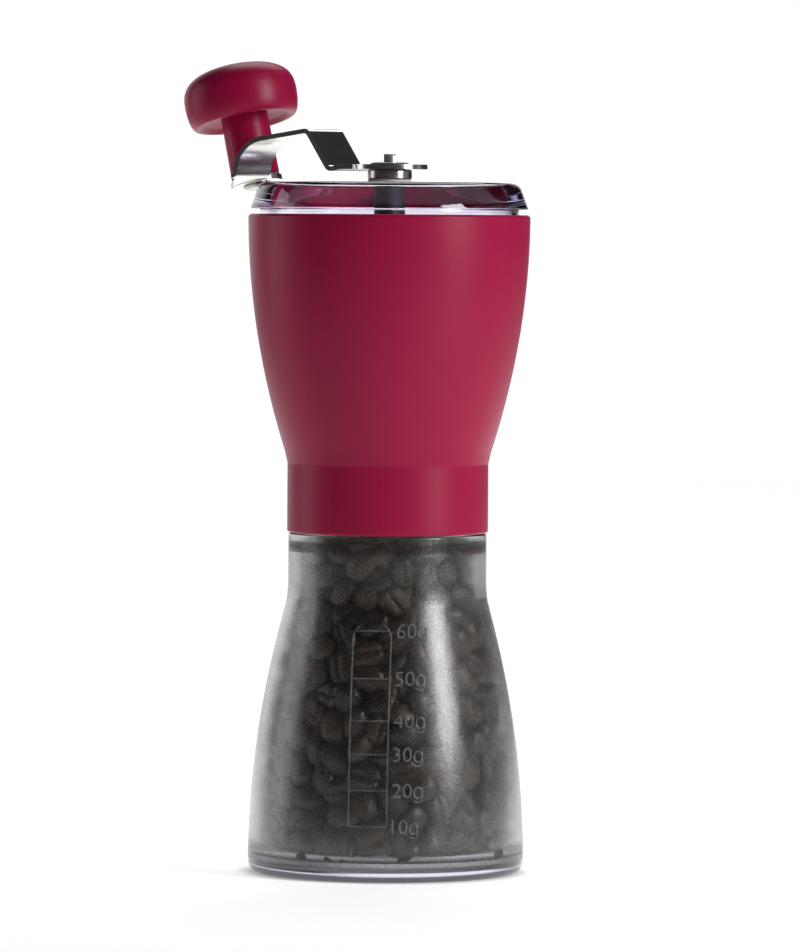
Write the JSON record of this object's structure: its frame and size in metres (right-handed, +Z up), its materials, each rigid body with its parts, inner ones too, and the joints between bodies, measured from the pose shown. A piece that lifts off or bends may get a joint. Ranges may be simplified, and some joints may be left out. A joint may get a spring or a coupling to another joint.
{
  "type": "manual coffee grinder",
  "caption": "Hand coffee grinder: clear waisted jar below, berry red hopper with ceramic burrs, clear lid and a bent steel crank with a round knob.",
  "frame": {"origin": "centre of the jar's underside", "axes": "+Z up along the shaft, jar scale facing -Y, crank at rest to the left and back"},
  "size_m": [0.0954, 0.0913, 0.2207],
  "materials": {
    "clear_plastic": "clear moulded plastic, polished lid and base, hazy jar wall",
    "berry_plastic": "fine satin texture, berry red",
    "dark_plastic": "dark moulded plastic",
    "white_ceramic": "unglazed white ceramic",
    "pale_nylon": "natural nylon",
    "seal_rubber": "soft translucent rubber",
    "steel": "plain bright steel",
    "brass": "turned brass"
  },
  "bodies": {
    "jar": {"jar": "clear_plastic"},
    "seal": {"jar_seal": "seal_rubber"},
    "hopper": {"hopper_body": "berry_plastic", "burr_carrier": "dark_plastic", "outer_burr": "white_ceramic", "burr_retainer": "dark_plastic", "lower_bush": "pale_nylon", "upper_bridge": "berry_plastic", "upper_bush": "pale_nylon"},
    "lid": {"lid": "clear_plastic", "lid_washer": "pale_nylon"},
    "shaft": {"drive_shaft": "steel", "shaft_clip": "steel", "thrust_washer": "pale_nylon", "spring_washer": "steel", "burr_spring": "steel"},
    "arm": {"crank_arm": "steel", "arm_boss": "steel", "knob_pin": "steel", "pin_washer": "steel"},
    "knob": {"knob_body": "berry_plastic", "knob_cap": "berry_plastic"},
    "burr": {"inner_burr": "white_ceramic", "drive_plate": "steel"},
    "nut": {"adjusting_nut": "dark_plastic", "nut_insert": "brass"}
  },
  "joints": [
    {"name": "body_lift", "type": "slide", "parent": "jar", "child": "seal", "axis": [0, 0, 1], "range_m": [0, 0.0161]},
    {"name": "body_turn", "type": "hinge", "parent": "seal", "child": "hopper", "pos_m": [0, 0, 0.105], "axis": [0, 0, 1], "range_deg": [0, 720]},
    {"name": "lid_lift", "type": "slide", "parent": "hopper", "child": "lid", "axis": [0, 0, 1], "range_m": [0, 0.03]},
    {"name": "crank_spin", "type": "hinge", "parent": "hopper", "child": "shaft", "pos_m": [0, 0, 0.19], "axis": [0, 0, 1], "continuous": true},
    {"name": "arm_lift", "type": "slide", "parent": "shaft", "child": "arm", "axis": [0, 0, 1], "range_m": [0, 0.0301]},
    {"name": "knob_spin", "type": "hinge", "parent": "arm", "child": "knob", "pos_m": [-0.03679, 0.03312, 0.1873], "axis": [-0.1923, 0.1732, 0.9659], "continuous": true},
    {"name": "burr_slide", "type": "slide", "parent": "shaft", "child": "burr", "axis": [0, 0, 1], "range_m": [0, 0.0016], "deforming": ["burr_spring"]},
    {"name": "nut_turn", "type": "hinge", "parent": "burr", "child": "nut", "pos_m": [0, 0, 0.088], "axis": [0, 0, 1], "range_deg": [0, 720]}
  ],
  "couplings": [
    {"joint": "body_lift", "follows": "body_turn", "m_per_rad": 0.0012732},
    {"joint": "arm_lift", "follows": "lid_lift", "ratio": 1},
    {"joint": "nut_turn", "follows": "burr_slide", "rad_per_m": 7854}
  ]
}
